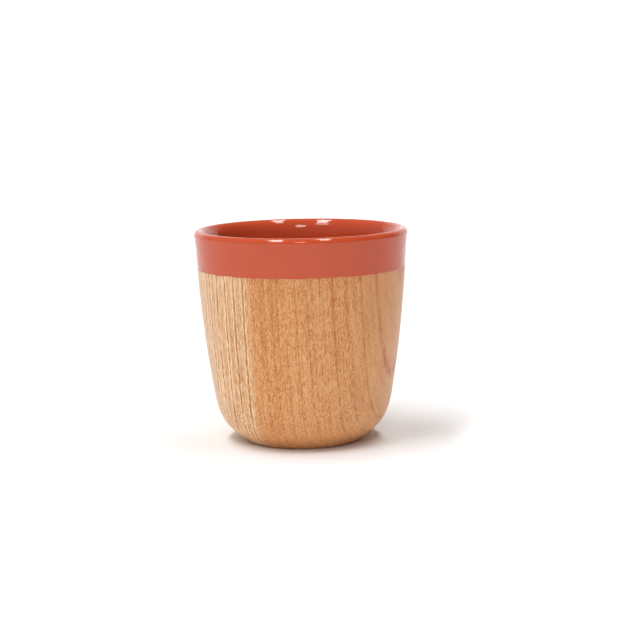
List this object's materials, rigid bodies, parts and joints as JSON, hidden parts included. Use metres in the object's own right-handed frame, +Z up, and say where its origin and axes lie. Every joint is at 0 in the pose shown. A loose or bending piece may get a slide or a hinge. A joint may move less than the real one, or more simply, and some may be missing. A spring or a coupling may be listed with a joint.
{
  "type": "espresso cup",
  "caption": "Handle-less turned hardwood cup with a rounded heel, red lacquer inside, over the lip and as an outer band, clear lacquer on the bare wood, for espresso or other short hot drinks.",
  "frame": {"origin": "middle of the foot's underside, in the plane that the cup stands on", "axes": "+Z up along the turning axis, -Y towards the pictured side"},
  "size_m": [0.065, 0.065, 0.0648],
  "materials": {
    "hardwood": "turned, sanded, satin under clear lacquer",
    "red_lacquer": "high gloss",
    "clear_lacquer": "satin, clear"
  },
  "bodies": {
    "root": {"wooden_body": "hardwood", "red_lacquer_coat": "red_lacquer", "clear_lacquer_coat": "clear_lacquer"}
  },
  "joints": []
}
